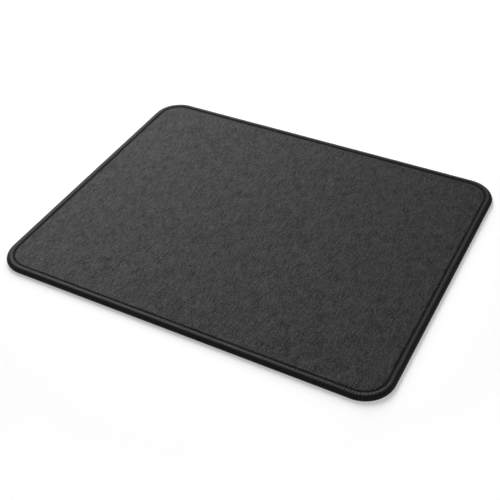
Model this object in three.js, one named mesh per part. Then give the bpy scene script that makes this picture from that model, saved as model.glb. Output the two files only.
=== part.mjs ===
// Cloth-topped mouse pad with an overlocked edge, in millimetres, +Z up.
// The origin is on the desk, under the middle of the pad. The front edge is the long one at -Y.
// Three layers are glued together, and three threads wrap their cut edge in one overlock seam.

import * as THREE from "three";

// The whole pad, from thread to thread
const pad_width = 250;
const pad_depth = 200;
const corner_radius = 18;

// The glued layers
const cloth_thickness = 0.45;
const film_thickness = 0.1;
const rubber_thickness = 2.85;

// The rim, where the seam squeezes the layers
const rim_sink = 0.45; // how far the cloth dips beside the seam
const rim_lift = 0.55; // how far the rubber's underside rises there, which leaves room for thread
const cloth_slope_run = 0.6; // the width of the slope between the flat cloth and the rim
const rubber_slope_run = 1.4; // the same under the rubber
const edge_sink = 0.35; // the cut edge is squeezed further, from above
const edge_lift = 0.6; // and from below
const edge_run = 0.9; // the width of that last bend

// The seam
const needle_inset = 4.7; // from the outer edge to the needle line
const stitch_length = 1.6;
const roll_rise = 0.4; // the top of the wrapped edge above the flat cloth
const wrap_thickness = 0.65; // looper thread over the cut edge
const thread_clearance = 0.15; // between neighbouring threads, and between thread and cut edge
const desk_clearance = 0.1; // the threads under the rim stay clear of the desk
const rib_depth = 0.22; // from the crown of one looper leg to the hollow beside it

// The needle thread that lies on the cloth
const needle_thread_width = 0.42;
const needle_thread_height = 0.3;
const needle_flat_width = 0.2; // its width where it lies on the cloth, and at its top

// The looper rolls, seen in section: how far inwards their bends lie
const upper_crown_inset = 3.4;
const upper_shoulder_inset = 0.7;
const upper_shoulder_drop = 0.65; // below the crown
const lower_heel_inset = 1.3;
const lower_heel_rise = 0.12; // above the threads' lowest line
const lower_shoulder_inset = 0.3;
const lower_shoulder_drop = 0.95; // below the line where the two loopers lock

// Facets
const corner_steps = 12;
const side_steps = 4;

// Heights above the desk
const rubber_top = rubber_thickness;
const film_top = rubber_top + film_thickness;
const cloth_top = film_top + cloth_thickness;
const rim_top = cloth_top - rim_sink;
const roll_top = cloth_top + roll_rise;
const lock_height = (roll_top + desk_clearance) / 2;

// Insets from the outer edge
const cut_edge_inset = wrap_thickness + thread_clearance;
const needle_half_width = needle_thread_width / 2;
const looper_foot_inset = needle_inset - needle_half_width - thread_clearance;
const rim_end_inset = needle_inset + needle_half_width + thread_clearance;

// Points on the needle line. A share of 0 is where the front edge turns into the right-hand corner,
// and the shares grow anticlockwise, seen from above.
const corner_x = pad_width / 2 - corner_radius;
const corner_y = pad_depth / 2 - corner_radius;
const needle_radius = corner_radius - needle_inset;
const arc_length = (needle_radius * Math.PI) / 2;
const corners = [
  { x: corner_x, y: -corner_y, side: 2 * corner_y },
  { x: corner_x, y: corner_y, side: 2 * corner_x },
  { x: -corner_x, y: corner_y, side: 2 * corner_y },
  { x: -corner_x, y: -corner_y, side: 2 * corner_x },
];
const seam_length = 4 * arc_length + 4 * (corner_x + corner_y);

function stationAt(share) {
  let along = share * seam_length;
  let turn = 0;
  while (turn < 3 && along >= arc_length + corners[turn].side) {
    along -= arc_length + corners[turn].side;
    turn += 1;
  }
  const corner = corners[turn];
  const start_angle = (turn * Math.PI) / 2 - Math.PI / 2;
  const angle = start_angle + Math.min(along / arc_length, 1) * (Math.PI / 2);
  const normal = new THREE.Vector2(Math.cos(angle), Math.sin(angle));
  const run = Math.max(along - arc_length, 0);
  const point = new THREE.Vector2(corner.x, corner.y)
    .addScaledVector(normal, needle_radius)
    .add(new THREE.Vector2(-normal.y, normal.x).multiplyScalar(run));
  return { share, point, normal };
}

// The same few stations serve every plain face, so that faces which meet have the same facets
function plainStations() {
  const stations = [];
  let along = 0;
  for (const corner of corners) {
    for (let step = 0; step < corner_steps; step += 1) {
      stations.push(stationAt((along + (arc_length * step) / corner_steps) / seam_length));
    }
    along += arc_length;
    for (let step = 0; step < side_steps; step += 1) {
      stations.push(stationAt((along + (corner.side * step) / side_steps) / seam_length));
    }
    along += corner.side;
  }
  return stations;
}

// Two stations for each stitch: one on a looper leg, one in the hollow beside it
function stitchStations() {
  const count = 2 * Math.round(seam_length / stitch_length);
  return Array.from({ length: count }, (_, index) => stationAt(index / count));
}

// A mesh is built from closed rings of points around the pad, joined one to the next
class RingSolid {
  constructor() {
    this.positions = [];
    this.faces = [];
  }

  // place gives the inset and the height at each station
  ring(stations, place) {
    const first = this.positions.length / 3;
    stations.forEach((station, index) => {
      const { inset, height } = place(index);
      const at = station.point.clone().addScaledVector(station.normal, needle_inset - inset);
      this.positions.push(at.x, at.y, height);
    });
    return { first, shares: stations.map((station) => station.share) };
  }

  // Joins two rings that may have different numbers of points, walking both at the same rate
  join(lower, upper) {
    const lower_count = lower.shares.length;
    const upper_count = upper.shares.length;
    let i = 0;
    let j = 0;
    while (i < lower_count || j < upper_count) {
      const next_lower = i + 1 < lower_count ? lower.shares[i + 1] : 1;
      const next_upper = j + 1 < upper_count ? upper.shares[j + 1] : 1;
      const a = lower.first + (i % lower_count);
      const b = upper.first + (j % upper_count);
      if (i < lower_count && (j >= upper_count || next_lower <= next_upper)) {
        this.faces.push(a, lower.first + ((i + 1) % lower_count), b);
        i += 1;
      } else {
        this.faces.push(a, upper.first + ((j + 1) % upper_count), b);
        j += 1;
      }
    }
  }

  joinInTurn(rings) {
    for (let index = 0; index + 1 < rings.length; index += 1) {
      this.join(rings[index], rings[index + 1]);
    }
  }

  // Closes a ring with a fan round the middle of the pad
  cap(ring, height, faces_up) {
    const middle = this.positions.length / 3;
    this.positions.push(0, 0, height);
    const count = ring.shares.length;
    for (let index = 0; index < count; index += 1) {
      const pair = [ring.first + index, ring.first + ((index + 1) % count)];
      this.faces.push(middle, ...(faces_up ? pair : pair.reverse()));
    }
  }

  plainRings(section) {
    const stations = plainStations();
    return section.map(([inset, height]) => this.ring(stations, () => ({ inset, height })));
  }

  geometry() {
    const geometry = new THREE.BufferGeometry();
    geometry.setAttribute("position", new THREE.Float32BufferAttribute(this.positions, 3));
    geometry.setIndex(this.faces);
    geometry.computeVertexNormals();
    return geometry;
  }
}

// A flat layer: its section runs from the underside's middle, round the cut edge, to the top's middle
function layer(section) {
  const solid = new RingSolid();
  const rings = solid.plainRings(section);
  solid.cap(rings[0], section[0][1], false);
  solid.joinInTurn(rings);
  solid.cap(rings.at(-1), section.at(-1)[1], true);
  return solid.geometry();
}

// A plain thread that goes all the way round: its section is closed
function band(section) {
  const solid = new RingSolid();
  const rings = solid.plainRings(section);
  solid.joinInTurn([...rings, rings[0]]);
  return solid.geometry();
}

// A face between two layers, from the flat of the pad to its cut edge. The layers on both sides use it.
function squeezedFace(height) {
  return [
    [rim_end_inset + cloth_slope_run, height],
    [rim_end_inset, height - rim_sink],
    [cut_edge_inset + edge_run, height - rim_sink],
    [cut_edge_inset, height - rim_sink - edge_sink],
  ];
}

function rubberBase() {
  return layer([
    [rim_end_inset + rubber_slope_run, 0],
    [rim_end_inset, rim_lift],
    [cut_edge_inset + edge_run, rim_lift],
    [cut_edge_inset, rim_lift + edge_lift],
    ...squeezedFace(rubber_top).reverse(),
  ]);
}

function bondingFilm() {
  return layer([...squeezedFace(rubber_top), ...squeezedFace(film_top).reverse()]);
}

function surfaceCloth() {
  return layer([...squeezedFace(film_top), ...squeezedFace(cloth_top).reverse()]);
}

// Lies on the cloth along the needle line
function needleThread() {
  const half_flat = needle_flat_width / 2;
  const middle = rim_top + needle_thread_height / 2;
  const top = rim_top + needle_thread_height;
  return band([
    [needle_inset - half_flat, rim_top],
    [needle_inset - needle_half_width, middle],
    [needle_inset - half_flat, top],
    [needle_inset + half_flat, top],
    [needle_inset + needle_half_width, middle],
    [needle_inset + half_flat, rim_top],
  ]);
}

// Wraps the underside of the rim and the lower half of the cut edge
function lowerLooperThread() {
  return band([
    [lower_heel_inset, desk_clearance + lower_heel_rise],
    [lower_shoulder_inset, lock_height - lower_shoulder_drop],
    [0, lock_height],
    [wrap_thickness, lock_height],
    [wrap_thickness, rim_lift + edge_lift],
    [wrap_thickness + edge_run, rim_lift],
    [looper_foot_inset, rim_lift],
    [looper_foot_inset - wrap_thickness, desk_clearance],
  ]);
}

// Wraps the top of the rim and the upper half of the cut edge, one rib for each stitch.
// inwards and down say which way each bend of the section gives way in the hollow between two ribs.
function upperLooperThread() {
  const solid = new RingSolid();
  const stations = stitchStations();
  const outside = [
    { inset: 0, height: lock_height, inwards: 1, down: 0 },
    {
      inset: upper_shoulder_inset,
      height: roll_top - upper_shoulder_drop,
      inwards: Math.SQRT1_2,
      down: Math.SQRT1_2,
    },
    { inset: upper_crown_inset, height: roll_top, inwards: 0, down: 1 },
    { inset: looper_foot_inset, height: rim_top, inwards: -1, down: 0 },
  ];
  const ribs = outside.map(({ inset, height, inwards, down }) =>
    solid.ring(stations, (index) => {
      const hollow = index % 2 === 0 ? 0 : rib_depth;
      return { inset: inset + inwards * hollow, height: height - down * hollow };
    }),
  );
  const hidden = solid.plainRings([
    [wrap_thickness + edge_run, rim_top],
    [wrap_thickness, rim_top - edge_sink],
    [wrap_thickness, lock_height],
  ]);
  solid.joinInTurn([...ribs, ...hidden, ribs[0]]);
  return solid.geometry();
}

const cloth_finish = new THREE.MeshStandardMaterial({ color: 0x434345, roughness: 0.95, metalness: 0 });
const film_finish = new THREE.MeshStandardMaterial({ color: 0xcfcdc6, roughness: 0.5, metalness: 0 });
const rubber_finish = new THREE.MeshStandardMaterial({ color: 0x161617, roughness: 0.85, metalness: 0 });
const thread_finish = new THREE.MeshStandardMaterial({ color: 0x1b1b1d, roughness: 0.7, metalness: 0 });

function piece(name, geometry, finish) {
  const mesh = new THREE.Mesh(geometry, finish);
  mesh.name = name;
  return mesh;
}

const laminate = new THREE.Group();
laminate.add(
  piece("rubber_base", rubberBase(), rubber_finish),
  piece("bonding_film", bondingFilm(), film_finish),
  piece("surface_cloth", surfaceCloth(), cloth_finish),
);

const overlock_seam = new THREE.Group();
overlock_seam.add(
  piece("needle_thread", needleThread(), thread_finish),
  piece("upper_looper_thread", upperLooperThread(), thread_finish),
  piece("lower_looper_thread", lowerLooperThread(), thread_finish),
);

const mouse_pad = new THREE.Group();
mouse_pad.add(laminate, overlock_seam);

export default mouse_pad;
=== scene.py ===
# %% [markdown]
# # A cloth-topped mouse pad with an overlocked edge
#
# The pad is a sheet of foam rubber with a knitted cloth glued on top. Three threads wrap the cut
# edge all the way round: one needle thread and two looper threads, which is what an overlock
# machine sews. The engineering model gives the sizes. This file gives each piece its look.

# %% Load the measured model
import math

import bmesh
import bpy
from mathutils import Matrix, Vector


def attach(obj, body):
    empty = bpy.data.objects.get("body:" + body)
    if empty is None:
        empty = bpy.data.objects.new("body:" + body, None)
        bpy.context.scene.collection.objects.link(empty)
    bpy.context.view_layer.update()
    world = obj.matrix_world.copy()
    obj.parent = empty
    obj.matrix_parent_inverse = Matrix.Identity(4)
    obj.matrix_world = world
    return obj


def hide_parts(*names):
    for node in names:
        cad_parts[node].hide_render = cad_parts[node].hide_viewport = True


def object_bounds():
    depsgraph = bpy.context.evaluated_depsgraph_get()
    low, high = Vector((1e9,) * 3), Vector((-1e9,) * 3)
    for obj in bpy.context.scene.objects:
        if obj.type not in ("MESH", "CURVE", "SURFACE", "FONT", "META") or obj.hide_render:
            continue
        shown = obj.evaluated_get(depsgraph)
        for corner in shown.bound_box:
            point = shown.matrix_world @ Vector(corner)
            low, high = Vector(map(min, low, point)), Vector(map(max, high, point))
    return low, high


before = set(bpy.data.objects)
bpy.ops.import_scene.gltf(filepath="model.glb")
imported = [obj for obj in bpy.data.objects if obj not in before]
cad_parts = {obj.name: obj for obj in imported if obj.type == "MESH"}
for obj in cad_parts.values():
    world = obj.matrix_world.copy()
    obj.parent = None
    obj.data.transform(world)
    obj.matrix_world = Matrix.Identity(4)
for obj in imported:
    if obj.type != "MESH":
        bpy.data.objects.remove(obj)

MM = 0.001
cad_low, cad_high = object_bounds()
pad_width, pad_depth, pad_height = cad_high - cad_low
print("pad, mm:", [round(side / MM, 2) for side in (pad_width, pad_depth, pad_height)])

# %% [markdown]
# ## The camera
#
# The photograph looks down on the front right of the pad. Its four straight edges and the picture's
# middle fix where the camera stood, so the camera is placed from angles, a distance, a small roll
# and a small step sideways, all measured from the middle of the pad.

# %% Place the camera
camera_azimuth = math.radians(29.963)
camera_elevation = math.radians(41.455)
camera_roll = math.radians(-2.834)
camera_distance = 556.7 * MM
camera_step = Vector((-3.235, -14.335)) * MM
camera_lens = 64.174

towards_camera = Vector((
    math.sin(camera_azimuth) * math.cos(camera_elevation),
    -math.cos(camera_azimuth) * math.cos(camera_elevation),
    math.sin(camera_elevation),
))
level_right = Vector((math.cos(camera_azimuth), math.sin(camera_azimuth), 0))
level_up = towards_camera.cross(level_right)
camera_right = level_right * math.cos(camera_roll) + level_up * math.sin(camera_roll)
camera_up = level_up * math.cos(camera_roll) - level_right * math.sin(camera_roll)

camera = bpy.data.objects.new("studio_camera", bpy.data.cameras.new("studio_camera"))
bpy.context.scene.collection.objects.link(camera)
camera.data.lens = camera_lens
camera.data.sensor_fit = "HORIZONTAL"
camera.data.clip_start = 0.01
turn = Matrix((camera_right, camera_up, towards_camera)).transposed()
camera.matrix_world = turn.to_4x4()
camera.location = (
    towards_camera * camera_distance
    + camera_right * camera_step.x
    + camera_up * camera_step.y
)
bpy.context.scene.camera = camera
print("camera at", [round(value, 3) for value in camera.location])

# %% [markdown]
# ## The needle line
#
# The needle runs round the pad at a steady distance from the edge, so everything that is sewn
# repeats along one closed line. A curve drawn by hand would have corners that are only nearly
# round. So the line starts as a plane, and its corners are bevelled round. With the face deleted,
# its outline becomes a curve, which later bends each row of stitches.
#
# Blender's operators act on whatever is selected, so each step here first selects one object, or
# some points of its mesh, and then calls the operator on those alone.

# %% Draw the needle line
needle_inset = 4.7 * MM
corner_radius = 18 * MM
corner_segments = 24
wanted_stitch = 1.6 * MM


def name_piece(name):
    """Names the object that was just made, and its mesh."""
    obj = bpy.context.object
    obj.name = name
    obj.data.name = name
    return obj


bpy.ops.object.select_all(action="DESELECT")
bpy.ops.mesh.primitive_plane_add(size=1)
needle_line = name_piece("needle_line")
needle_line.scale = (pad_width - 2 * needle_inset, pad_depth - 2 * needle_inset, 1)
bpy.ops.object.transform_apply(location=False, rotation=False, scale=True)
bpy.ops.object.mode_set(mode="EDIT")
bpy.ops.mesh.select_all(action="SELECT")
bpy.ops.mesh.bevel(offset=corner_radius - needle_inset, segments=corner_segments, affect="VERTICES")
bpy.ops.mesh.delete(type="ONLY_FACE")
bpy.ops.object.mode_set(mode="OBJECT")
bpy.ops.object.convert(target="CURVE")
seam_length = needle_line.data.splines[0].calc_length()
stitch_count = round(seam_length / wanted_stitch)
stitch = seam_length / stitch_count
print(stitch_count, "stitches of", round(stitch / MM, 4), "mm")

# %% [markdown]
# One stitch is modelled flat, near the origin: X runs along the seam, Y runs from the needle line
# towards the middle of the pad, and Z is the height above the desk. An Array modifier repeats it
# once for each stitch, and a Curve modifier bends the row round the needle line. The points where
# two stitches meet are merged, so each thread comes out as one unbroken loop.

# %% Sew one stitch all the way round
weld_distance = 0.01 * MM


def hold(obj):
    """Makes one object the only selected one."""
    bpy.ops.object.select_all(action="DESELECT")
    obj.select_set(True)
    bpy.context.view_layer.objects.active = obj


def finish_modifiers(obj):
    """Applies every modifier, from the first to the last."""
    hold(obj)
    for modifier in list(obj.modifiers):
        bpy.ops.object.modifier_apply(modifier=modifier.name)


def sew_round(obj):
    """Repeats one stitch, bends the row round the needle line and welds its two ends."""
    repeat = obj.modifiers.new("repeat", "ARRAY")
    repeat.count = stitch_count
    repeat.use_relative_offset = False
    repeat.use_constant_offset = True
    repeat.constant_offset_displace = (stitch, 0, 0)
    repeat.use_merge_vertices = True
    repeat.merge_threshold = weld_distance
    bend = obj.modifiers.new("bend", "CURVE")
    bend.object = needle_line
    finish_modifiers(obj)
    bpy.ops.object.mode_set(mode="EDIT")
    bpy.ops.mesh.select_all(action="SELECT")
    bpy.ops.mesh.remove_doubles(threshold=weld_distance)
    bpy.ops.object.mode_set(mode="OBJECT")


# %% [markdown]
# ## The face cloth
#
# The cloth lies flat over the whole pad and dives under the threads at the rim, where the seam
# squeezes it. Between two needle holes the taut needle thread presses it into a groove and draws it
# back. At a hole it puffs up and reaches the roll, so from a step away the groove looks like a row
# of dark dashes with small teeth of cloth between them. A plane with a bump texture would lose that
# rim, so one stitch of it is modelled as a small grid, sewn round, and its inner border is filled
# with one flat face. Solidify then gives the cloth its thickness.

# %% Model one stitch of the cloth's rim
cloth_rows = [  # inset from the pad's outer edge and height above the desk, mm
    (0.8, 2.60), (1.7, 2.85), (2.8, 2.85), (3.7, 2.76), (4.25, 2.66), (4.48, 2.62),
    (4.64, 2.68), (4.76, 2.94), (4.88, 3.26), (5.08, 3.38), (5.5, 3.40), (6.2, 3.40),
]
cloth_columns = [0, 0.22, 0.5, 0.78, 1]  # shares of a stitch, with a needle hole at each end
pull_shares = [0, 0.75, 1, 0.75, 0]  # how much of the needle thread's pull each column feels

# For some of the rows, counted from 0: how far the cloth goes at full pull or at a hole, mm.
groove = {5: 0.1, 6: 0.2, 7: 0.55, 8: 0.5, 9: 0.16}  # down under the thread
puff = {4: 0.1, 5: 0.25, 6: 0.34, 7: 0.22, 8: 0.08, 9: 0.04}  # up at a hole
scallop = {6: 0.24, 7: 0.6, 8: 0.68, 9: 0.6, 10: 0.24}  # inwards, from the hole to full pull
still_pull = 0.45  # the pull at which the scallop leaves the cloth where the row has it


def grid_of_rows(name, rows, columns):
    """A flat grid with one row of points for each row of the table."""
    bpy.ops.object.select_all(action="DESELECT")
    bpy.ops.mesh.primitive_grid_add(x_subdivisions=columns - 1, y_subdivisions=rows - 1, size=1)
    return name_piece(name)


def choose(test):
    """In edit mode, selects the points that pass a test of their number and place."""
    mesh = bpy.context.object.data
    points = bmesh.from_edit_mesh(mesh)
    for point in points.verts:
        point.select = bool(test(point.index, point.co))
    points.select_flush(True)
    points.select_flush(False)
    bmesh.update_edit_mesh(mesh)


def carry(numbers, step):
    """In edit mode, moves the points with these numbers by a step."""
    choose(lambda number, place: number in numbers)
    bpy.ops.transform.translate(value=step)


cloth = grid_of_rows("face_cloth", len(cloth_rows), len(cloth_columns))
start = [point.co.copy() for point in cloth.data.vertices]
width = len(cloth_columns)
bpy.ops.object.mode_set(mode="EDIT")
for row, (inset, height) in enumerate(cloth_rows):
    for column, share in enumerate(cloth_columns):
        number = row * width + column
        pull = pull_shares[column]
        lift = puff.get(row, 0) * (1 - pull) - groove.get(row, 0) * pull
        draw = scallop.get(row, 0) * (pull - still_pull)
        goal = Vector((share * stitch, (inset + draw) * MM - needle_inset, (height + lift) * MM))
        carry({number}, goal - start[number])
bpy.ops.object.mode_set(mode="OBJECT")
print("cloth rim, one stitch:", len(cloth.data.polygons), "faces")

# %% Sew the rim round and fill the middle
flat_from_height = 3.35 * MM
sew_round(cloth)

bpy.ops.object.mode_set(mode="EDIT")
bpy.ops.mesh.select_all(action="DESELECT")
bpy.ops.mesh.select_mode(type="EDGE")
bpy.ops.mesh.select_non_manifold()
mesh_points = bmesh.from_edit_mesh(cloth.data)
for edge in mesh_points.edges:
    middle = (edge.verts[0].co + edge.verts[1].co) / 2
    if middle.z < flat_from_height:
        edge.select = False
bmesh.update_edit_mesh(cloth.data)
bpy.ops.mesh.edge_face_add()
bpy.ops.mesh.select_mode(type="VERT")
bpy.ops.mesh.select_all(action="SELECT")
bpy.ops.mesh.normals_make_consistent(inside=False)
bpy.ops.object.mode_set(mode="OBJECT")
widest = max(cloth.data.polygons, key=lambda face: face.area)
if widest.normal.z < 0:
    cloth.data.flip_normals()
print("the cloth's flat middle, cm2:", round(widest.area / (10 * MM) ** 2, 1))

# %% Give the cloth its thickness
cloth_thickness = 0.45 * MM
crease_angle = math.radians(50)


def thicken(obj, thickness):
    """Gives a surface its thickness, below the side that it shows."""
    wall = obj.modifiers.new("wall", "SOLIDIFY")
    wall.thickness = thickness
    wall.offset = -1
    finish_modifiers(obj)


def count_triangles(obj):
    """How many triangles the mesh of a piece has."""
    obj.data.calc_loop_triangles()
    return len(obj.data.loop_triangles)


thicken(cloth, cloth_thickness)
bpy.ops.object.shade_smooth_by_angle(angle=crease_angle)
print("cloth:", count_triangles(cloth), "triangles")

# %% [markdown]
# ## The looper threads
#
# A looper thread runs out over the rim, turns on the cut edge and runs back to the next needle
# hole, so each stitch is one hairpin. It is a soft flat yarn that spreads where it is free and
# pinches where it turns. A round tube would leave gaps between the legs, so the yarn is modelled
# as a ribbon of three points a row, raised along its middle, and thickened after it is sewn round.
# The legs lean, one thread each way, so the turns of one thread lie between those of the other.
# Two legs never touch: Remove Doubles would weld them, and leave the yarn with open edges.

# %% Lay a ribbon of yarn from a table of rows
ribbon_points = 3


def mirrored(leg):
    """The whole hairpin: the leg out to the edge, and the same leg back to the next needle hole."""
    back = [
        (1 - share, inset, height, width, 180 - flat_turn, -edge_turn)
        for share, inset, height, width, flat_turn, edge_turn in reversed(leg[:-1])
    ]
    return leg + back


def turn_row(numbers, middle, degrees, axis):
    """Turns a row of points, anticlockwise seen against the axis."""
    choose(lambda number, place: number in numbers)
    bpy.ops.transform.rotate(value=-math.radians(degrees), orient_axis=axis, center_override=middle)


def lay_ribbon(name, leg, lean):
    """Each row: its share of the stitch, inset, height and width in mm, and two turns in degrees."""
    rows = mirrored(leg)
    yarn = grid_of_rows(name, len(rows), ribbon_points)
    start = [point.co.copy() for point in yarn.data.vertices]
    bpy.ops.object.mode_set(mode="EDIT")
    for row, (share, inset, height, width, flat_turn, edge_turn) in enumerate(rows):
        first = ribbon_points * row
        numbers = {first, first + 1, first + 2}
        reach = (needle_inset - inset * MM) / needle_inset
        middle = Vector((
            (share + lean * max(reach, 0)) * stitch,
            inset * MM - needle_inset,
            height * MM,
        ))
        carry(numbers, middle - start[first + 1])
        bpy.ops.transform.resize(value=(width * MM, 1, 1), center_override=middle)
        turn_row(numbers, middle, flat_turn, "Z")
        turn_row(numbers, middle, edge_turn, "Y")
    bpy.ops.object.mode_set(mode="OBJECT")
    print(name, "one stitch:", len(yarn.data.polygons), "faces")
    return yarn


# %% Raise the middle of a ribbon
def raise_middle(yarn, crown, outwards):
    """Outwards is 1 for a yarn on top of the rim, and -1 for one underneath."""
    places = [point.co.copy() for point in yarn.data.vertices]
    row_count = len(places) // ribbon_points
    bpy.ops.object.mode_set(mode="EDIT")
    for row in range(row_count):
        before = max(row - 1, 0)
        after = min(row + 1, row_count - 1)
        along = places[ribbon_points * after + 1] - places[ribbon_points * before + 1]
        if before == row or after == row:  # at a needle hole the yarn runs along the seam
            along = Vector((1, 0, 0))
        across = places[ribbon_points * row + 2] - places[ribbon_points * row]
        rise = along.cross(across).normalized() * crown * outwards
        carry({ribbon_points * row + 1}, rise)
    if outwards > 0:  # the rows run towards the edge, so the grid's faces look down until now
        bpy.ops.mesh.select_all(action="SELECT")
        bpy.ops.mesh.flip_normals()
    bpy.ops.object.mode_set(mode="OBJECT")


# %% Wrap the top of the rim with the upper looper's yarn
yarn_thickness = 0.3 * MM
yarn_crown = 0.085 * MM
yarn_lean = 0.25  # shares of a stitch that a leg leans on its way to the edge

upper_leg = [
    (0.00, 4.66, 3.02, 0.28, 90, 0),
    (0.06, 4.52, 3.16, 0.32, 50, 0),
    (0.08, 4.30, 3.28, 0.36, 14, 0),
    (0.09, 4.02, 3.44, 0.42, 0, 0),
    (0.11, 3.64, 3.64, 0.48, 0, 0),
    (0.13, 3.20, 3.80, 0.54, 0, 0),
    (0.15, 2.72, 3.87, 0.60, 0, 0),
    (0.17, 2.14, 3.79, 0.68, 0, 0),
    (0.20, 1.52, 3.54, 0.76, 0, 0),
    (0.235, 0.84, 3.12, 0.80, 0, 0),
    (0.25, 0.32, 2.56, 0.76, 0, 0),
    (0.33, 0.08, 1.96, 0.62, 0, -45),
    (0.50, 0.04, 1.66, 0.50, 0, -90),
]
upper_yarn = lay_ribbon("upper_looper_yarn", upper_leg, -yarn_lean)
raise_middle(upper_yarn, yarn_crown, outwards=1)
sew_round(upper_yarn)
thicken(upper_yarn, yarn_thickness)
bpy.ops.object.shade_smooth()
print("upper looper:", count_triangles(upper_yarn), "triangles")

# %% [markdown]
# The lower looper's yarn does the same underneath. It stays just clear of the desk, because the
# rubber's underside rises towards the seam and makes room for it.

# %% Wrap the underside of the rim with the lower looper's yarn
lower_leg = [
    (0.00, 4.70, 0.50, 0.28, 90, 0),
    (0.13, 4.42, 0.44, 0.38, 50, 0),
    (0.20, 4.08, 0.36, 0.56, 12, 0),
    (0.25, 3.50, 0.29, 0.76, 0, 0),
    (0.25, 2.60, 0.26, 0.82, 0, 0),
    (0.25, 1.70, 0.27, 0.84, 0, 0),
    (0.25, 0.95, 0.43, 0.84, 0, 0),
    (0.25, 0.38, 0.87, 0.86, 0, 0),
    (0.27, 0.12, 1.46, 0.80, 0, 0),
    (0.34, 0.02, 1.86, 0.60, 0, 45),
    (0.50, 0.02, 2.06, 0.50, 0, 90),
]
lower_yarn = lay_ribbon("lower_looper_yarn", lower_leg, yarn_lean)
raise_middle(lower_yarn, yarn_crown, outwards=-1)
sew_round(lower_yarn)
thicken(lower_yarn, yarn_thickness)
bpy.ops.object.shade_smooth()
print("lower looper:", count_triangles(lower_yarn), "triangles")

# %% [markdown]
# Textured sewing yarn is fluffy: its loose filaments fill the roll beneath the legs, so no light
# comes through between them. Filaments modelled one by one would take millions of points, so a
# thin wall just under the legs stands for all of them.

# %% Lay the bed of filaments under the legs
bed_rows = [  # inset and height, mm, from the needle line over the edge to the underside
    (4.30, 2.66), (4.08, 3.04), (3.68, 3.38), (3.20, 3.58), (2.72, 3.67), (2.14, 3.58), (1.56, 3.32),
    (1.04, 2.92), (0.66, 2.36), (0.44, 1.90), (0.42, 1.50), (0.55, 0.96), (1.02, 0.54), (2.40, 0.45),
    (4.25, 0.45),
]
bed_thickness = 0.12 * MM

bed = grid_of_rows("yarn_bed", len(bed_rows), 2)
start = [point.co.copy() for point in bed.data.vertices]
bpy.ops.object.mode_set(mode="EDIT")
for row, (inset, height) in enumerate(bed_rows):
    for column in (0, 1):
        number = row * 2 + column
        goal = Vector((column * stitch, inset * MM - needle_inset, height * MM))
        carry({number}, goal - start[number])
bpy.ops.mesh.select_all(action="SELECT")
bpy.ops.mesh.flip_normals()
bpy.ops.object.mode_set(mode="OBJECT")
sew_round(bed)
thicken(bed, bed_thickness)
bpy.ops.object.shade_smooth()
print("bed:", count_triangles(bed), "triangles")

# %% [markdown]
# ## The needle thread
#
# On the cloth the needle thread is a row of short bars, one from each hole to the next, deep in the
# groove that they press. Under the rim it comes out of each hole as a small loop that holds the
# lower looper's turn. A curve with a round bevel has the same shape, but its ends don't weld from
# stitch to stitch. So a bar is a ring of six points, extruded step by step from one hole to the
# next and sewn round. A loop is extruded the same way across the hole, and closed at both ends,
# which stay inside the rubber.

# %% Extrude a strand from one ring of points
strand_radius = 0.17 * MM
strand_sides = 6


def strand(name, path, closed):
    """A round thread that follows a path of share, inset and height, the last two in mm."""
    places = [
        Vector((share * stitch, inset * MM - needle_inset, height * MM))
        for share, inset, height in path
    ]
    bpy.ops.object.select_all(action="DESELECT")
    bpy.ops.mesh.primitive_circle_add(
        vertices=strand_sides,
        radius=strand_radius,
        fill_type="NGON" if closed else "NOTHING",
        location=places[0],
        rotation=(0, math.pi / 2, 0),
    )
    thread = name_piece(name)
    bpy.ops.object.transform_apply(location=True, rotation=True, scale=True)
    bpy.ops.object.mode_set(mode="EDIT")
    bpy.ops.mesh.select_all(action="SELECT")
    for before, after in zip(places, places[1:]):
        bpy.ops.mesh.extrude_region_move(TRANSFORM_OT_translate={"value": after - before})
    bpy.ops.mesh.select_all(action="SELECT")
    bpy.ops.mesh.normals_make_consistent(inside=False)
    bpy.ops.object.mode_set(mode="OBJECT")
    return thread


# %% Sew the needle thread's bars on the cloth
needle_bar = [  # share of the stitch, inset and height, the last two in mm
    (0.00, 4.50, 2.10), (0.12, 4.50, 2.45), (0.22, 4.50, 2.76),
    (0.35, 4.50, 2.92), (0.50, 4.50, 2.95), (0.65, 4.50, 2.92),
    (0.78, 4.50, 2.76), (0.88, 4.50, 2.45), (1.00, 4.50, 2.10),
]
needle_yarn = strand("needle_bars", needle_bar, closed=False)
sew_round(needle_yarn)
bpy.ops.object.mode_set(mode="EDIT")
bpy.ops.mesh.select_all(action="SELECT")
bpy.ops.mesh.normals_make_consistent(inside=False)
bpy.ops.object.mode_set(mode="OBJECT")
bpy.ops.object.shade_smooth()
print("needle thread on the cloth:", count_triangles(needle_yarn), "triangles")

# %% Model the needle thread's loops under the rim
needle_loop = [
    (0.30, 4.60, 0.80), (0.34, 4.60, 0.42), (0.44, 4.60, 0.24),
    (0.56, 4.60, 0.24), (0.66, 4.60, 0.42), (0.70, 4.60, 0.80),
]
needle_loops = strand("needle_loops", needle_loop, closed=True)
sew_round(needle_loops)
bpy.ops.object.shade_smooth()
print("needle loops:", count_triangles(needle_loops), "triangles")

# %% [markdown]
# ## The rubber base
#
# The base is one moulded sheet of foam rubber, and the seam squeezes its rim from both sides. A
# plain slab would come out through the threads there. So the sheet is drawn as an outline with
# bevelled corners, extruded to the height of the cut edge, and then stepped inwards with Inset,
# ring by ring, above and below.

# %% Step the rubber sheet in, ring by ring
cut_edge_inset = 0.8 * MM
cut_edge_low = 1.15 * MM
cut_edge_height = 0.85 * MM
top_steps = [(0.9, 0.24), (3.3, -0.14), (0.6, 0.7)]  # inwards and upwards, mm
bottom_steps = [(0.9, -0.6), (3.16, 0), (1.4, -0.37)]  # the flat ends 0.18 mm above the desk

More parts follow.
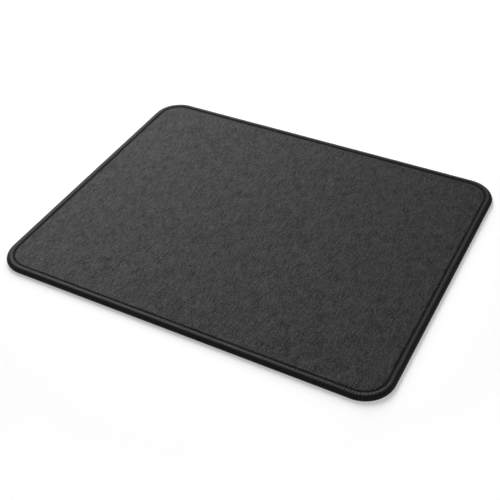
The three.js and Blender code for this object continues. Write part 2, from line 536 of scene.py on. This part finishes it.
bpy.ops.object.select_all(action="DESELECT")
bpy.ops.mesh.primitive_plane_add(size=1, location=(0, 0, cut_edge_low))
rubber = name_piece("rubber_sheet")
rubber.scale = (pad_width - 2 * cut_edge_inset, pad_depth - 2 * cut_edge_inset, 1)
bpy.ops.object.transform_apply(location=True, rotation=False, scale=True)
bpy.ops.object.mode_set(mode="EDIT")
bpy.ops.mesh.select_all(action="SELECT")
bpy.ops.mesh.bevel(
    offset=corner_radius - cut_edge_inset, segments=corner_segments, affect="VERTICES"
)
bpy.ops.mesh.extrude_region_move(TRANSFORM_OT_translate={"value": (0, 0, cut_edge_height)})


def step_inwards(steps):
    """In edit mode, insets the selected face again and again, and moves it up or down."""
    for inwards, upwards in steps:
        bpy.ops.mesh.inset(thickness=inwards * MM, depth=0, use_boundary=True)
        bpy.ops.transform.translate(value=(0, 0, upwards * MM))


step_inwards(top_steps)
choose(lambda number, place: place.z < cut_edge_low + cut_edge_height / 2)
step_inwards(bottom_steps)
bpy.ops.mesh.select_all(action="SELECT")
bpy.ops.mesh.normals_make_consistent(inside=False)
bpy.ops.object.mode_set(mode="OBJECT")
print("rubber sheet:", count_triangles(rubber), "triangles")

# %% [markdown]
# The underside grips the desk with rows of small raised diamonds. A bump texture could draw them,
# but the sheet really stands on them, so they are modelled. One diamond is a cone with four sides
# and a flat end. Two Array modifiers lay a row and then the rows, a second set fills the places
# between them, and the diamonds that would hang over the rounded rim are deleted.

# %% Mould two fields of diamonds
diamond_pitch = 3.2 * MM
diamond_base = 1.42 * MM
diamond_face = 1.22 * MM
diamond_root = 0.06 * MM
tread_depth = 0.18 * MM
flat_inset = 6.7 * MM


def diamond_field(name, columns, rows):
    """Diamonds in columns and rows, with the middle of the field under that of the pad."""
    bpy.ops.object.select_all(action="DESELECT")
    bpy.ops.mesh.primitive_cone_add(
        vertices=4,
        radius1=diamond_face,
        radius2=diamond_base,
        depth=tread_depth + diamond_root,
        location=(
            -(columns - 1) * diamond_pitch / 2,
            -(rows - 1) * diamond_pitch / 2,
            (tread_depth + diamond_root) / 2,
        ),
    )
    field = name_piece(name)
    bpy.ops.object.transform_apply(location=True, rotation=True, scale=True)
    for axis, count in enumerate((columns, rows)):
        repeat = field.modifiers.new("repeat", "ARRAY")
        repeat.count = count
        repeat.use_relative_offset = False
        repeat.use_constant_offset = True
        step = [0, 0, 0]
        step[axis] = diamond_pitch
        repeat.constant_offset_displace = step
    finish_modifiers(field)
    return field


columns = 2 * math.floor((pad_width / 2 - flat_inset) / diamond_pitch) + 1
rows = 2 * math.floor((pad_depth / 2 - flat_inset) / diamond_pitch) + 1
treads = [
    diamond_field("diamonds", columns, rows),
    diamond_field("diamonds_between", columns - 1, rows - 1),
]
print("diamonds in the first field:", columns, "by", rows)

# %% Delete the diamonds that would hang over the rim
diamond_points = 8


def past_the_rim(place):
    """Whether a point lies outside the flat of the underside, which has rounded corners."""
    radius = corner_radius - flat_inset
    x = abs(place.x) - (pad_width / 2 - corner_radius)
    y = abs(place.y) - (pad_depth / 2 - corner_radius)
    if x > 0 and y > 0:
        return math.hypot(x, y) > radius
    return max(x, y) > radius


for field in treads:
    hold(field)
    outside = {
        number // diamond_points
        for number, point in enumerate(field.data.vertices)
        if past_the_rim(point.co)
    }
    bpy.ops.object.mode_set(mode="EDIT")
    choose(lambda number, place: number // diamond_points in outside)
    bpy.ops.mesh.delete(type="VERT")
    bpy.ops.object.mode_set(mode="OBJECT")
    print(field.name, len(field.data.vertices) // diamond_points)

# %% Join the diamonds to the sheet
facet_angle = math.radians(20)
hold(rubber)
for field in treads:
    field.select_set(True)
bpy.ops.object.join()
bpy.ops.object.shade_smooth_by_angle(angle=facet_angle)
print("rubber:", count_triangles(rubber), "triangles")

# %% [markdown]
# ## Finishes
#
# Every finish is made of noise at the right scale, so it works at any distance. A finish reads
# Object coordinates, which are metres here, and a group called grain turns them into soft spots or
# streaks: its frequency says how many spots fit in a metre along X, Y and Z. The same group serves
# cloth, rubber, film and thread, each with its own numbers.

# %% Helpers that add nodes and groups
def add_node(tree, kind, settings=(), values=()):
    """Adds a node, with its settings and the values of its unlinked sockets."""
    made = tree.nodes.new(kind)
    for name, value in dict(settings).items():
        setattr(made, name, value)
    for name, value in dict(values).items():
        made.inputs[name].default_value = value
    return made


def new_group(name, inputs, outputs):
    """An empty node group with its sockets, and its two end nodes."""
    group = bpy.data.node_groups.new(name, "ShaderNodeTree")
    for label, kind in inputs:
        group.interface.new_socket(label, in_out="INPUT", socket_type="NodeSocket" + kind)
    for label, kind in outputs:
        group.interface.new_socket(label, in_out="OUTPUT", socket_type="NodeSocket" + kind)
    return group, group.nodes.new("NodeGroupInput"), group.nodes.new("NodeGroupOutput")


# %% Make the grain group
grain, ins, outs = new_group(
    "grain",
    [("Vector", "Vector"), ("Frequency", "Vector"), ("Middle", "Float"), ("Softness", "Float")],
    [("Tone", "Float")],
)
stretch = add_node(grain, "ShaderNodeVectorMath", {"operation": "MULTIPLY"})
noise = add_node(grain, "ShaderNodeTexNoise", values={"Scale": 1, "Detail": 5, "Roughness": 0.7})
low = add_node(grain, "ShaderNodeMath", {"operation": "SUBTRACT"})
high = add_node(grain, "ShaderNodeMath", {"operation": "ADD"})
spread = add_node(grain, "ShaderNodeMapRange", {"clamp": True})
grain.links.new(ins.outputs["Vector"], stretch.inputs[0])
grain.links.new(ins.outputs["Frequency"], stretch.inputs[1])
grain.links.new(stretch.outputs[0], noise.inputs["Vector"])
grain.links.new(ins.outputs["Middle"], low.inputs[0])
grain.links.new(ins.outputs["Middle"], high.inputs[0])
grain.links.new(ins.outputs["Softness"], low.inputs[1])
grain.links.new(ins.outputs["Softness"], high.inputs[1])
grain.links.new(noise.outputs["Fac"], spread.inputs["Value"])
grain.links.new(low.outputs[0], spread.inputs["From Min"])
grain.links.new(high.outputs[0], spread.inputs["From Max"])
grain.links.new(spread.outputs["Result"], outs.inputs["Tone"])
print("group:", grain.name)

# %% [markdown]
# ### Cloth
#
# The cloth is a fine polyester knit in dark charcoal, brushed so that its fibres lie along the
# pad's depth. From a step away it shows soft blotches a few millimetres wide, a fine grain of light
# specks, faint streaks and short light fibres. So four grains are mixed. The last two are stretched
# along Y, the way the fibres lie.

# %% Helpers that start a finish and add grain to it
def new_finish(name, **values):
    """A material with one Principled shader, its plain values, and Object coordinates."""
    finish = bpy.data.materials.new(name)
    finish.use_nodes = True
    shader = finish.node_tree.nodes["Principled BSDF"]
    for socket, value in values.items():
        shader.inputs[socket.replace("_", " ")].default_value = value
    where = finish.node_tree.nodes.new("ShaderNodeTexCoord")
    return finish, finish.node_tree, shader, where


def add_grain(tree, vector, frequency, softness, middle=0.5):
    """Soft spots. Less softness makes them crisper, and a higher middle makes them fewer."""
    made = add_node(tree, "ShaderNodeGroup", {"node_tree": grain})
    made.inputs["Frequency"].default_value = frequency
    made.inputs["Middle"].default_value = middle
    made.inputs["Softness"].default_value = softness
    tree.links.new(vector, made.inputs["Vector"])
    return made.outputs["Tone"]


# %% Helpers that mix colours, add up tones and raise a relief
def mix_colour(tree, factor, first, second):
    """Mixes two colours by a factor. Each of the three is a plain value or a socket."""
    made = add_node(tree, "ShaderNodeMix", {"data_type": "RGBA"})
    sockets = (made.inputs[0], made.inputs[6], made.inputs[7])
    for socket, value in zip(sockets, (factor, first, second)):
        if isinstance(value, bpy.types.NodeSocket):
            tree.links.new(value, socket)
        else:
            socket.default_value = value
    return made.outputs[2]


def add_sum(tree, *parts):
    """Adds up tones, each with its weight."""
    total = None
    for tone, weight in parts:
        made = add_node(tree, "ShaderNodeMath", {"operation": "MULTIPLY_ADD"}, {1: weight, 2: 0})
        tree.links.new(tone, made.inputs[0])
        if total:
            tree.links.new(total, made.inputs[2])
        total = made.outputs[0]
    return total


def add_bump(tree, shader, height, distance):
    """Tilts the surface as if a tone of 1 stood this far above a tone of 0."""
    made = add_node(tree, "ShaderNodeBump", values={"Distance": distance, "Strength": 1})
    tree.links.new(height, made.inputs["Height"])
    tree.links.new(made.outputs["Normal"], shader.inputs["Normal"])


def grey(value, blue=1.0):
    """A grey in linear light, a touch bluer than neutral if blue is over 1."""
    return (value, value, value * blue, 1)


# %% Make the cloth's finish
cloth_finish, tree, shader, where = new_finish(
    "charcoal_knit", Roughness=0.9, Specular_IOR_Level=0.15, Sheen_Weight=0.05, Sheen_Roughness=0.5
)
place = where.outputs["Object"]
blotches = add_grain(tree, place, frequency=(200, 130, 200), softness=0.2)
fine = add_grain(tree, place, frequency=(1950, 1550, 1950), softness=0.04, middle=0.57)
streaks = add_grain(tree, place, frequency=(1500, 150, 1500), softness=0.06)
fibres = add_grain(tree, place, frequency=(1500, 330, 1500), softness=0.03, middle=0.68)
tone = add_sum(tree, (blotches, 0.26), (fine, 0.82), (streaks, 0.26), (fibres, 0.98))
colour = mix_colour(tree, tone, grey(0.006, 1.05), grey(0.108, 1.05))
tree.links.new(colour, shader.inputs["Base Color"])
knit = add_grain(tree, place, frequency=(3600, 3600, 3600), softness=0.2)
relief = add_sum(tree, (fine, 0.6), (streaks, 0.5), (knit, 0.4))
add_bump(tree, shader, relief, distance=0.12 * MM)
cloth.data.materials.append(cloth_finish)
print("finish:", cloth_finish.name)

# %% [markdown]
# ### Sewing yarn
#
# The yarn is a bundle of fine black filaments that run along each leg of the stitch. The ribbon
# kept the grid's UV map, with U across the yarn and V along it, so streaks that are short in U and
# long in V become filaments. A picture of yarn would repeat in every stitch. Here the place on the
# pad is added as a third number, so that no two stitches look alike.
#
# The crest of the roll, and with it the yarn's turns at the needle holes, is a little lighter and
# greyer than its sides: a painted highlight where the lamps catch the roll. The height of a point says
# how near the crest it is. The turns, where V is near 0 or 1, lie lower, so they count as if they lay
# higher.

# %% Make the filaments group
waves_along = 9
shift_per_metre = (260, 330, 0)

filaments, ins, outs = new_group(
    "filaments",
    [("UV", "Vector"), ("Place", "Vector"), ("Count", "Float")],
    [("Tone", "Float")],
)
parts = add_node(filaments, "ShaderNodeSeparateXYZ")
across = add_node(filaments, "ShaderNodeMath", {"operation": "MULTIPLY"})
along = add_node(filaments, "ShaderNodeMath", {"operation": "MULTIPLY"}, {1: waves_along})
spot = add_node(
    filaments, "ShaderNodeVectorMath", {"operation": "DOT_PRODUCT"}, {1: shift_per_metre}
)
joined = add_node(filaments, "ShaderNodeCombineXYZ")
lines = add_node(filaments, "ShaderNodeTexNoise", values={"Scale": 1, "Detail": 2, "Roughness": 0.5})
clear = add_node(filaments, "ShaderNodeMapRange", {"clamp": True}, {"From Min": 0.3, "From Max": 0.7})
filaments.links.new(ins.outputs["UV"], parts.inputs[0])
filaments.links.new(parts.outputs["X"], across.inputs[0])
filaments.links.new(ins.outputs["Count"], across.inputs[1])
filaments.links.new(parts.outputs["Y"], along.inputs[0])
filaments.links.new(ins.outputs["Place"], spot.inputs[0])
filaments.links.new(across.outputs[0], joined.inputs["X"])
filaments.links.new(along.outputs[0], joined.inputs["Y"])
filaments.links.new(spot.outputs["Value"], joined.inputs["Z"])
filaments.links.new(joined.outputs[0], lines.inputs["Vector"])
filaments.links.new(lines.outputs["Fac"], clear.inputs["Value"])
filaments.links.new(clear.outputs["Result"], outs.inputs["Tone"])
print("group:", filaments.name)

# %% Mix the yarn's dark and rubbed colours
filaments_across = 9

yarn_finish, tree, shader, where = new_finish(
    "black_yarn", Roughness=0.5, Specular_IOR_Level=0.2
)
hairs = add_node(tree, "ShaderNodeGroup", {"node_tree": filaments}, {"Count": filaments_across})
tree.links.new(where.outputs["UV"], hairs.inputs["UV"])
tree.links.new(where.outputs["Object"], hairs.inputs["Place"])
patches = add_grain(tree, where.outputs["Object"], frequency=(160, 160, 160), softness=0.25)
tone = add_sum(tree, (hairs.outputs["Tone"], 0.7), (patches, 0.3))
deep = mix_colour(tree, tone, grey(0.004), grey(0.016, 1.03))
# painted highlight: the lighter, greyer colour that the crest and the turns get
painted_highlight_colour = mix_colour(tree, tone, grey(0.032), grey(0.102, 1.03))
add_bump(tree, shader, hairs.outputs["Tone"], distance=0.02 * MM)
print("finish:", yarn_finish.name)

# %% Paint a highlight on the crest of the roll
crest_starts = 3.58 * MM
crest_full = 4.05 * MM
turns_count_higher_by = 0.75 * MM


def ramp(tree, source, start, end, low, high):
    """A value that goes evenly from low to high while the source goes from start to end."""
    values = {"From Min": start, "From Max": end, "To Min": low, "To Max": high}
    made = add_node(tree, "ShaderNodeMapRange", {"clamp": True}, values)
    tree.links.new(source, made.inputs["Value"])
    return made.outputs["Result"]


ribbon = add_node(tree, "ShaderNodeSeparateXYZ")
past_middle = add_node(tree, "ShaderNodeMath", {"operation": "SUBTRACT"}, {1: 0.5})
from_middle = add_node(tree, "ShaderNodeMath", {"operation": "ABSOLUTE"})
place = add_node(tree, "ShaderNodeSeparateXYZ")
height = add_node(tree, "ShaderNodeMath", {"operation": "ADD"})
tree.links.new(where.outputs["UV"], ribbon.inputs[0])
tree.links.new(ribbon.outputs["Y"], past_middle.inputs[0])
tree.links.new(past_middle.outputs[0], from_middle.inputs[0])
tree.links.new(where.outputs["Object"], place.inputs[0])
tree.links.new(place.outputs["Z"], height.inputs[0])
# the turns at the needle holes count as higher, so the painted highlight reaches them too
raised = ramp(
    tree, from_middle.outputs[0], start=0.34, end=0.45, low=0, high=turns_count_higher_by
)
tree.links.new(raised, height.inputs[1])
# painted highlight: the yarn gets lighter from crest_starts up to crest_full
painted_highlight_mask = ramp(tree, height.outputs[0], start=crest_starts, end=crest_full, low=0, high=1)
colour = mix_colour(tree, painted_highlight_mask, deep, painted_highlight_colour)
tree.links.new(colour, shader.inputs["Base Color"])
for piece in (upper_yarn, lower_yarn, bed):
    piece.data.materials.append(yarn_finish)
print("the crest gets lighter from", crest_starts / MM, "to", crest_full / MM, "mm")

# %% [markdown]
# The needle thread is thinner and harder twisted than the looper yarn, so it has an even grain
# instead of lines.

# %% Make the needle thread's finish
thread_finish, tree, shader, where = new_finish(
    "black_thread", Roughness=0.6, Specular_IOR_Level=0.2
)
twist = add_grain(tree, where.outputs["Object"], frequency=(3800, 3800, 5200), softness=0.2)
colour = mix_colour(tree, twist, grey(0.006), grey(0.03, 1.03))
tree.links.new(colour, shader.inputs["Base Color"])
add_bump(tree, shader, twist, distance=0.05 * MM)
for piece in (needle_yarn, needle_loops):
    piece.data.materials.append(thread_finish)
print("finish:", thread_finish.name)

# %% [markdown]
# ### Rubber and film
#
# Foam rubber is nearly black and dull. Tiny open cells prick its skin, each pit darkened with painted
# shade, and a little dust greys it.
# The film is a thin layer of clear glue that the black rubber darkens, and only its edge could show.

# %% Make the rubber's finish
rubber_finish, tree, shader, where = new_finish("foam_rubber", Specular_IOR_Level=0.4)
place = where.outputs["Object"]
dust = add_grain(tree, place, frequency=(45, 45, 45), softness=0.25)
skin = add_grain(tree, place, frequency=(900, 900, 900), softness=0.2)
cells = add_node(tree, "ShaderNodeTexVoronoi", values={"Scale": 2600, "Randomness": 1})
tree.links.new(place, cells.inputs["Vector"])
pit_relief_and_shade = ramp(tree, cells.outputs["Distance"], start=0.12, end=0.3, low=0, high=1)
tone = add_sum(tree, (dust, 0.5), (skin, 0.5))
colour = mix_colour(tree, tone, grey(0.007), grey(0.019))
# painted shade: the pits of the open cells are darker
colour = mix_colour(tree, pit_relief_and_shade, grey(0.004), colour)
tree.links.new(colour, shader.inputs["Base Color"])
dull = ramp(tree, tone, start=0, end=1, low=0.62, high=0.92)
tree.links.new(dull, shader.inputs["Roughness"])
relief = add_sum(tree, (skin, 0.6), (pit_relief_and_shade, 0.5))
add_bump(tree, shader, relief, distance=0.06 * MM)
rubber.data.materials.append(rubber_finish)
print("finish:", rubber_finish.name)

# %% Make the film's finish
film_finish, tree, shader, where = new_finish("glue_film", Roughness=0.45, Specular_IOR_Level=0.5)
haze = add_grain(tree, where.outputs["Object"], frequency=(300, 300, 300), softness=0.25)
colour = mix_colour(tree, haze, grey(0.03), grey(0.06))
tree.links.new(colour, shader.inputs["Base Color"])
add_bump(tree, shader, haze, distance=0.03 * MM)
film = bpy.data.objects["bonding_film"]
film.data.materials.clear()
film.data.materials.append(film_finish)
print("finish:", film_finish.name)

# %% [markdown]
# ## Floor and light
#
# The photograph has a white ground with a soft grey shadow in front of the pad and on its right. It
# starts narrow and dark and fades out slowly, which only a tall and wide light gives. So a large
# soft lamp stands behind the pad on the left, with a grid that narrows its beam, a weak one stands
# on the right, and an even white world fills the rest a little.
#
# The floor is pale and keeps the shadow. The big lamp's light gets weaker across it. So where the
# camera, a reflection or a clear piece looks at the floor, its paint gets lighter that way and it
# glows a little more, and the ground comes out even and white. The light that it throws back on
# the pad stays that of plain pale paint.

# %% Lay the floor
floor_size = 8.0

bpy.ops.object.select_all(action="DESELECT")
bpy.ops.mesh.primitive_plane_add(size=floor_size)
floor = name_piece("studio_floor")
floor_finish, tree, shader, where = new_finish("white_floor", Roughness=1.0, Specular_IOR_Level=0.0)
shader.inputs["Emission Color"].default_value = grey(1.0)
floor.data.materials.append(floor_finish)
print("floor:", floor_size, "m wide")

# %% Tell the rays that look at the floor from those that light the pad
rays = add_node(tree, "ShaderNodeLightPath")
seen = add_node(tree, "ShaderNodeMath", {"operation": "MAXIMUM"})
seen_at_all = add_node(tree, "ShaderNodeMath", {"operation": "MAXIMUM"})
tree.links.new(rays.outputs["Is Camera Ray"], seen.inputs[0])
tree.links.new(rays.outputs["Is Glossy Ray"], seen.inputs[1])
tree.links.new(seen.outputs[0], seen_at_all.inputs[0])
tree.links.new(rays.outputs["Is Transmission Ray"], seen_at_all.inputs[1])
print("rays that look at the floor: camera, glossy and transmission")

# %% Even out the floor's paint and glow for the rays that look at it
falls_off_along = (1, 0.4, 0)  # the way in which the big lamp's light on the floor gets weaker

side = add_node(tree, "ShaderNodeVectorMath", {"operation": "DOT_PRODUCT"}, {1: falls_off_along})
reach = add_node(tree, "ShaderNodeVectorMath", {"operation": "LENGTH"})
glow = add_node(tree, "ShaderNodeMath", {"operation": "ADD"})
seen_glow = add_node(tree, "ShaderNodeMath", {"operation": "MULTIPLY"})
tree.links.new(where.outputs["Object"], side.inputs[0])
tree.links.new(where.outputs["Object"], reach.inputs[0])
near_glow = ramp(tree, side.outputs["Value"], start=0.17, end=0.29, low=0.39, high=0.60)
far_glow = ramp(tree, reach.outputs["Value"], start=0.17, end=0.72, low=0, high=0.64)
tree.links.new(near_glow, glow.inputs[0])
tree.links.new(far_glow, glow.inputs[1])
tree.links.new(seen_at_all.outputs[0], seen_glow.inputs[0])
tree.links.new(glow.outputs[0], seen_glow.inputs[1])
tree.links.new(seen_glow.outputs[0], shader.inputs["Emission Strength"])
evened = ramp(tree, side.outputs["Value"], start=-0.20, end=0.17, low=0.41, high=0.92)
paint = mix_colour(tree, seen_at_all.outputs[0], grey(0.8), evened)
tree.links.new(paint, shader.inputs["Base Color"])
print("finish:", floor_finish.name)

# %% Set the world
fill_level = 0.08

world = bpy.data.worlds.new("studio_world")
world.use_nodes = True
bpy.context.scene.world = world
tree = world.node_tree
sky = tree.nodes["Background"]
sky.inputs["Color"].default_value = grey(1.0)
rays = add_node(tree, "ShaderNodeLightPath")
level = ramp(tree, rays.outputs["Is Camera Ray"], start=0, end=1, low=fill_level, high=1)
tree.links.new(level, sky.inputs["Strength"])
print("world:", world.name)

# %% Set the lamps
def add_lamp(name, place, aim, size, spread, power):
    """A soft lamp, wide by tall, that faces a point on the floor and has a grid to narrow its beam."""
    lamp = bpy.data.objects.new(name, bpy.data.lights.new(name, "AREA"))
    bpy.context.scene.collection.objects.link(lamp)
    lamp.data.shape = "RECTANGLE"
    lamp.data.size, lamp.data.size_y = size
    lamp.data.spread = math.radians(spread)
    lamp.data.energy = power
    lamp.location = place
    lamp.rotation_euler = (Vector(aim) - Vector(place)).to_track_quat("-Z", "Y").to_euler()
    print(name, power, "W")


add_lamp(
    "back_left_lamp",
    place=(-0.557, 0.557, 0.616),
    aim=(-0.60, 0, 0),
    size=(0.70, 1.40),
    spread=110,
    power=16.6,
)
add_lamp(
    "right_lamp",
    place=(0.8, -0.2, 0.35),
    aim=(0, 0, 0),
    size=(0.6, 0.6),
    spread=180,
    power=1.4,
)
bpy.context.scene.view_settings.view_transform = "Standard"

# %% [markdown]
# ## Tie each piece to the engineering model
#
# Each piece rides on the pad's one body and says which engineering solid it stands for, which is
# then hidden.

# %% Tie the pieces
for piece, solid, slot in (
    (cloth, "surface_cloth", "surface_cloth"),
    (rubber, "rubber_base", "rubber_base"),
    (upper_yarn, "upper_looper_thread", "edge_thread"),
    (lower_yarn, "lower_looper_thread", "edge_thread"),
    (needle_yarn, "needle_thread", "edge_thread"),
    (needle_loops, "needle_thread", "edge_thread"),
    (bed, "upper_looper_thread", "edge_thread"),
):
    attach(piece, "root")
    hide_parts(solid)
    print(piece.name, "stands for", solid)

bpy.data.objects.remove(needle_line)
bpy.ops.object.select_all(action="DESELECT")
